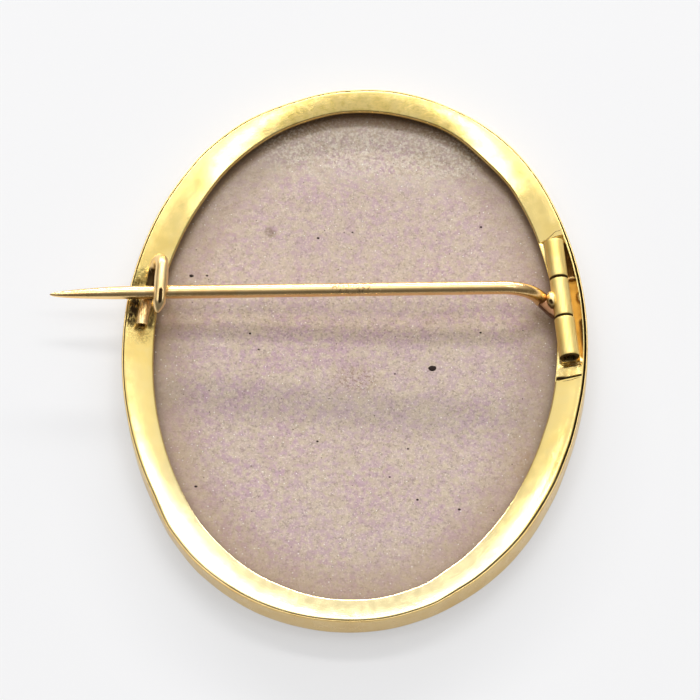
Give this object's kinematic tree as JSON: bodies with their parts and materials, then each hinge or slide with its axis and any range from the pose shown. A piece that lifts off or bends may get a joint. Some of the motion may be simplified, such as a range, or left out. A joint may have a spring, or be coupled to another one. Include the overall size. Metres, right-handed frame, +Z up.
{
  "type": "painted enamel brooch",
  "caption": "Oval gold-framed brooch with a domed enamel plaque, lying face down; a long pin swings on a tube hinge and closes under a bent-wire catch.",
  "frame": {"origin": "middle of the brooch's box, pin included, on the surface that the brooch lies on face down", "axes": "+Z up out of the brooch's back, +Y along the oval's long axis towards the end nearer the hinge, +X from the catch to the hinge"},
  "size_m": [0.0542, 0.0578, 0.007],
  "materials": {
    "frame_gold": "polished yellow gold, worn and lightly scratched",
    "pin_gold": "polished gold of a rosier colour",
    "front_enamel": "glossy painted enamel",
    "back_enamel": "glossy mottled counter-enamel"
  },
  "bodies": {
    "frame": {"bezel": "frame_gold", "back_rim": "frame_gold", "hinge_rivet": "pin_gold", "painted_enamel": "front_enamel", "counter_enamel": "back_enamel"},
    "pin": {"pin_stem": "pin_gold"}
  },
  "joints": [
    {"name": "pin_hinge", "type": "hinge", "parent": "frame", "child": "pin", "pos_m": [0.02408, 0.0069, 0.0036], "axis": [-0.1874, 0.9823, 0], "range_deg": [0, 125]}
  ]
}
